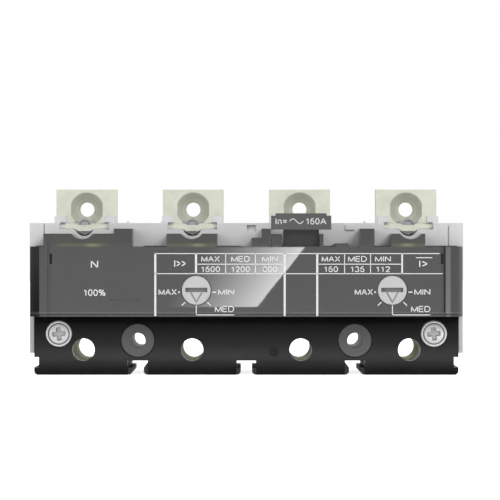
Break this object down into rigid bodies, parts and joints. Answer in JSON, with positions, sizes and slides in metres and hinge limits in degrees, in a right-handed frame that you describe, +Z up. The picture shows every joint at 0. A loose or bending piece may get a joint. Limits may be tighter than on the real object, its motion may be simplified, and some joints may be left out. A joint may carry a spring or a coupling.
{
  "type": "circuit breaker trip unit",
  "caption": "Wide shallow plug-in overcurrent trip unit for a moulded case circuit breaker: copper tabs on top, smoked front with setting dials, black terminal base with through bores.",
  "frame": {"origin": "centre of the part's box on the plane of the terminal housing's feet", "axes": "+X across the poles to the right as seen from the front, +Z up to the tabs, the front faces -Y"},
  "size_m": [0.14, 0.0524, 0.0602],
  "materials": {
    "case_grey": "fine matt moulding",
    "terminal_black": "satin moulding",
    "cover_smoke": "glossy smoked moulding",
    "carrier_grey": "matt moulding",
    "tag_grey": "satin moulding",
    "dial_grey": "fine matt moulding",
    "slide_grey": "matt moulding",
    "bar_black": "satin moulding",
    "bush_grey": "matt moulding",
    "silver_plate": "silver-plated copper, satin",
    "terminal_brass": "tarnished plated brass",
    "bimetal_strip": "rolled bimetal strip",
    "magnet_steel": "zinc-plated steel sheet",
    "screw_zinc": "bright zinc-plated steel",
    "spring_steel": "drawn spring wire"
  },
  "bodies": {
    "case": {"base_housing": "case_grey", "back_cover": "case_grey", "terminal_housing": "terminal_black", "front_cover": "cover_smoke", "dial_carrier": "carrier_grey", "rating_tag": "tag_grey", "conductor_1": "silver_plate", "conductor_2": "silver_plate", "conductor_3": "silver_plate", "conductor_4": "silver_plate", "terminal_sleeve_1": "terminal_brass", "terminal_sleeve_2": "terminal_brass", "terminal_sleeve_3": "terminal_brass", "terminal_sleeve_4": "terminal_brass", "bimetal_1": "bimetal_strip", "bimetal_2": "bimetal_strip", "bimetal_3": "bimetal_strip", "bimetal_4": "bimetal_strip", "magnet_yoke_1": "magnet_steel", "magnet_yoke_2": "magnet_steel", "magnet_yoke_3": "magnet_steel", "magnet_yoke_4": "magnet_steel", "armature_spring_1": "spring_steel", "armature_spring_2": "spring_steel", "armature_spring_3": "spring_steel", "armature_spring_4": "spring_steel", "keeper_1": "silver_plate", "keeper_2": "silver_plate", "keeper_3": "silver_plate", "keeper_4": "silver_plate", "calibration_screw_1": "screw_zinc", "calibration_screw_2": "screw_zinc", "calibration_screw_3": "screw_zinc", "calibration_screw_4": "screw_zinc", "armature_pins": "magnet_steel", "bimetal_rivets": "terminal_brass", "trip_bar_spring": "spring_steel", "screw_washers": "screw_zinc", "mounting_bush_left": "bush_grey", "mounting_bush_right": "bush_grey", "coding_pin": "bar_black", "case_screws": "screw_zinc"},
    "armature_1": {"armature_1": "magnet_steel"},
    "armature_2": {"armature_2": "magnet_steel"},
    "armature_3": {"armature_3": "magnet_steel"},
    "armature_4": {"armature_4": "magnet_steel"},
    "trip_bar": {"trip_bar": "bar_black"},
    "magnetic_dial": {"magnetic_dial": "dial_grey"},
    "thermal_dial": {"thermal_dial": "dial_grey"},
    "magnetic_slide": {"magnetic_slide": "slide_grey"},
    "thermal_slide": {"thermal_slide": "slide_grey"},
    "captive_screw_left": {"captive_screw_left": "screw_zinc"},
    "captive_screw_right": {"captive_screw_right": "screw_zinc"}
  },
  "joints": [
    {"name": "magnetic_dial_turn", "type": "hinge", "parent": "case", "child": "magnetic_dial", "pos_m": [-0.016, -0.026, 0.0274], "axis": [0, -1, 0], "range_deg": [-90, 90]},
    {"name": "thermal_dial_turn", "type": "hinge", "parent": "case", "child": "thermal_dial", "pos_m": [0.0466, -0.026, 0.0274], "axis": [0, -1, 0], "range_deg": [-90, 90]},
    {"name": "magnetic_slide_shift", "type": "slide", "parent": "case", "child": "magnetic_slide", "axis": [1, 0, 0], "range_m": [-0.0018, 0.0018]},
    {"name": "thermal_slide_shift", "type": "slide", "parent": "case", "child": "thermal_slide", "axis": [1, 0, 0], "range_m": [-0.0018, 0.0018]},
    {"name": "trip_bar_turn", "type": "hinge", "parent": "case", "child": "trip_bar", "pos_m": [0, -0.01475, 0.037], "axis": [1, 0, 0], "range_deg": [0, 8], "stiffness_Nm_per_rad": 0.01, "springref_deg": -17.19, "deforming": ["trip_bar_spring"]},
    {"name": "armature_1_turn", "type": "hinge", "parent": "case", "child": "armature_1", "pos_m": [-0.0525, -0.01055, 0.0355], "axis": [1, 0, 0], "range_deg": [0, 8], "stiffness_Nm_per_rad": 0.005, "springref_deg": -17.19, "deforming": ["armature_spring_1"]},
    {"name": "armature_2_turn", "type": "hinge", "parent": "case", "child": "armature_2", "pos_m": [-0.0175, -0.01055, 0.0355], "axis": [1, 0, 0], "range_deg": [0, 8], "stiffness_Nm_per_rad": 0.005, "springref_deg": -17.19, "deforming": ["armature_spring_2"]},
    {"name": "armature_3_turn", "type": "hinge", "parent": "case", "child": "armature_3", "pos_m": [0.0175, -0.01055, 0.0355], "axis": [1, 0, 0], "range_deg": [0, 8], "stiffness_Nm_per_rad": 0.005, "springref_deg": -17.19, "deforming": ["armature_spring_3"]},
    {"name": "armature_4_turn", "type": "hinge", "parent": "case", "child": "armature_4", "pos_m": [0.0525, -0.01055, 0.0355], "axis": [1, 0, 0], "range_deg": [0, 8], "stiffness_Nm_per_rad": 0.005, "springref_deg": -17.19, "deforming": ["armature_spring_4"]},
    {"name": "captive_screw_left_turn", "type": "hinge", "parent": "case", "child": "captive_screw_left", "pos_m": [-0.06046, -0.016, 0.01326], "axis": [0, -1, 0], "continuous": true},
    {"name": "captive_screw_right_turn", "type": "hinge", "parent": "case", "child": "captive_screw_right", "pos_m": [0.06046, -0.016, 0.01326], "axis": [0, -1, 0], "continuous": true}
  ],
  "couplings": [
    {"joint": "magnetic_dial_turn", "follows": "magnetic_slide_shift", "rad_per_m": 872.66},
    {"joint": "thermal_dial_turn", "follows": "thermal_slide_shift", "rad_per_m": -872.66}
  ]
}
